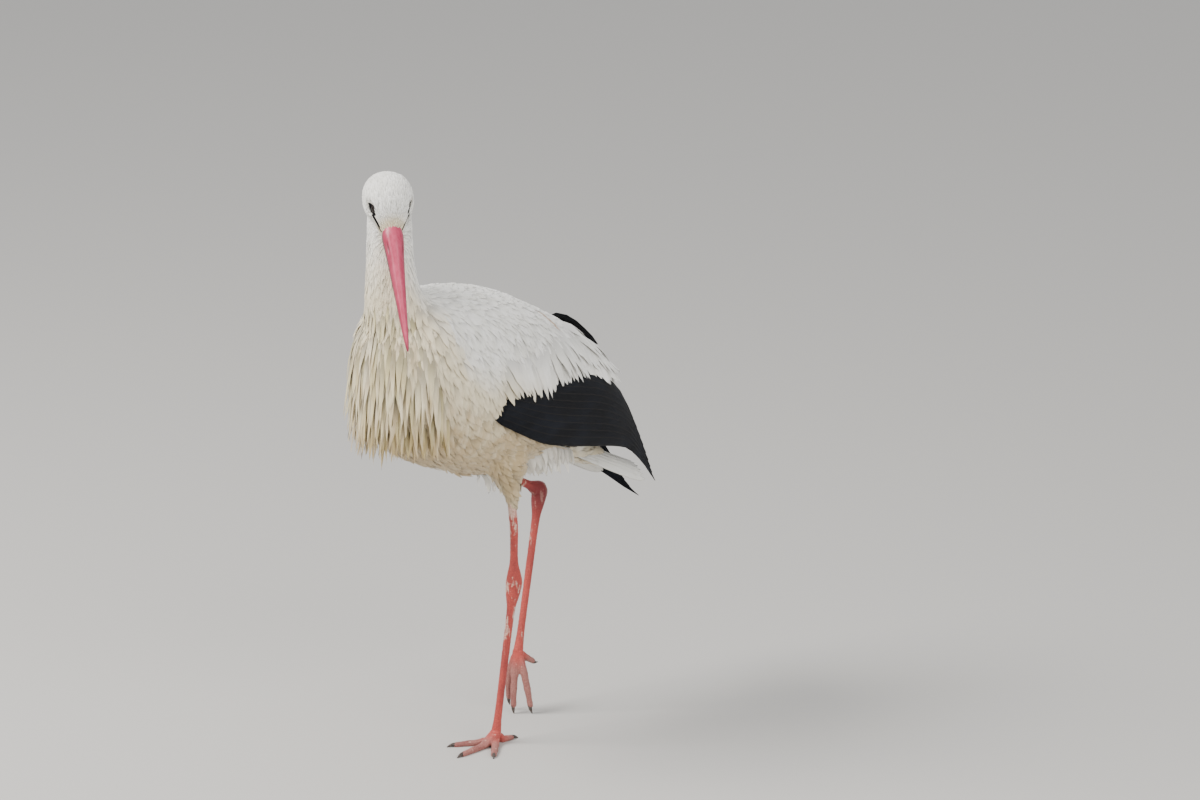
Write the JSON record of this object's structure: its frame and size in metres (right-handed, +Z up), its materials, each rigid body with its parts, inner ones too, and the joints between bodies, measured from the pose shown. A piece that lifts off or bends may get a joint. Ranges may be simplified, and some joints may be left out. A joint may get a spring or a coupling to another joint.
{
  "type": "white stork",
  "caption": "Still, life-size white stork in mid step, one foot flat and the other trailing, head turned to its left with the long red bill pointing down.",
  "frame": {"origin": "on the ground, under the middle of the bird's box", "axes": "+Z up, -Y the way the body faces, +X the bird's left"},
  "size_m": [0.2166, 0.6132, 0.8115],
  "materials": {
    "white_plumage": "soft matte feathers, bright white",
    "cream_plumage": "soft matte feathers, soiled cream and buff",
    "black_plumage": "smooth black quills with a faint cool sheen",
    "red_horn": "satin pink-red horn",
    "red_skin": "scaly coral-red skin with whitish flakes",
    "claw": "satin dark horn",
    "eye": "wet black-brown eyeball"
  },
  "bodies": {
    "root": {"bill_upper": "red_horn", "bill_lower": "red_horn", "eye_left": "eye", "eye_right": "eye", "head": "white_plumage", "neck": "white_plumage", "breast_bib": "cream_plumage", "trunk": "cream_plumage", "mantle": "white_plumage", "claw_left_inner": "claw", "claw_left_middle": "claw", "claw_left_outer": "claw", "claw_left_hind": "claw", "foot_left": "red_skin", "tarsus_left": "red_skin", "shank_left": "red_skin", "claw_right_inner": "claw", "claw_right_middle": "claw", "claw_right_outer": "claw", "claw_right_hind": "claw", "foot_right": "red_skin", "tarsus_right": "red_skin", "shank_right": "red_skin", "thigh_left": "cream_plumage", "wing_left_flight": "black_plumage", "wing_left_coverts": "white_plumage", "thigh_right": "cream_plumage", "wing_right_flight": "black_plumage", "wing_right_coverts": "white_plumage", "tail": "white_plumage", "vent_plumes": "white_plumage"}
  },
  "joints": []
}
